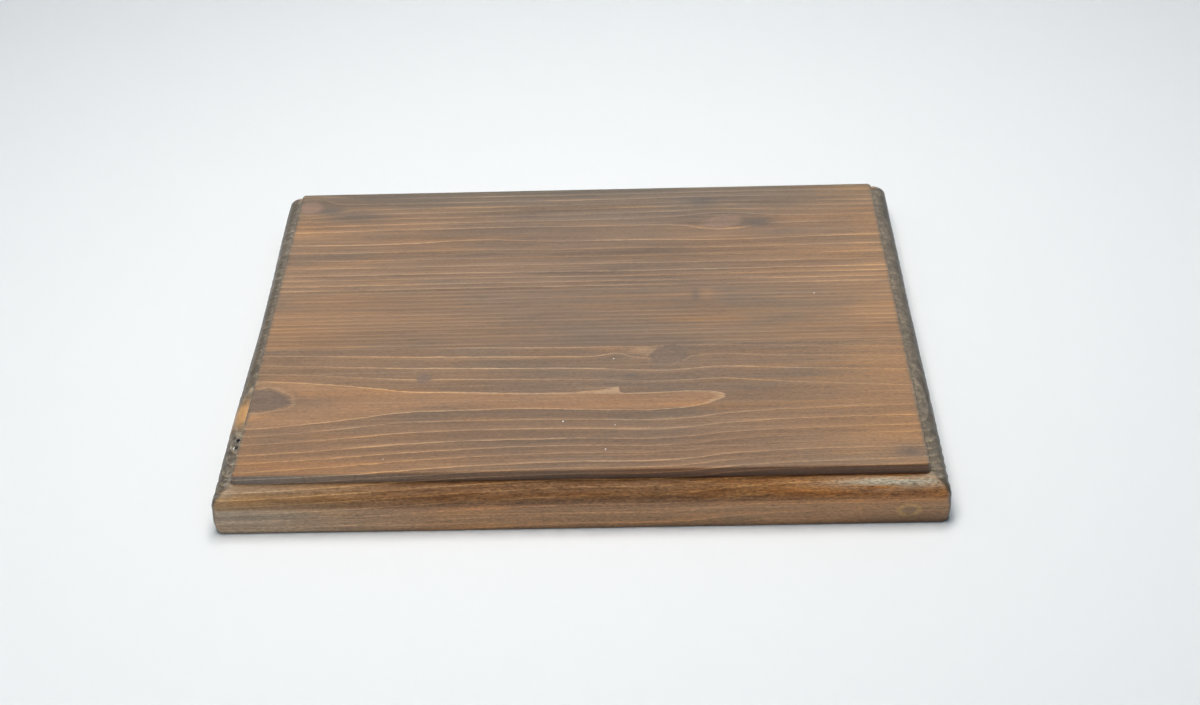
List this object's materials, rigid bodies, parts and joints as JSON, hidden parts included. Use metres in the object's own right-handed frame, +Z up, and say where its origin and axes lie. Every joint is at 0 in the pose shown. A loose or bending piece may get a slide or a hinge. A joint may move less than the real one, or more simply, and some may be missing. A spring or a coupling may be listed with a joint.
{
  "type": "photo album stand",
  "caption": "Flat stained pine board with a stepped quarter-round edge, a low stand for a photo album lying on it.",
  "frame": {"origin": "middle of the underside, on the surface that the board lies on", "axes": "+X to the right along the grain and the long side, +Y to the back, +Z up"},
  "size_m": [0.35, 0.265, 0.028],
  "materials": {
    "stained_pine": "walnut stain under satin varnish"
  },
  "bodies": {
    "root": {"back_stave": "stained_pine", "middle_stave": "stained_pine", "front_stave": "stained_pine"}
  },
  "joints": []
}
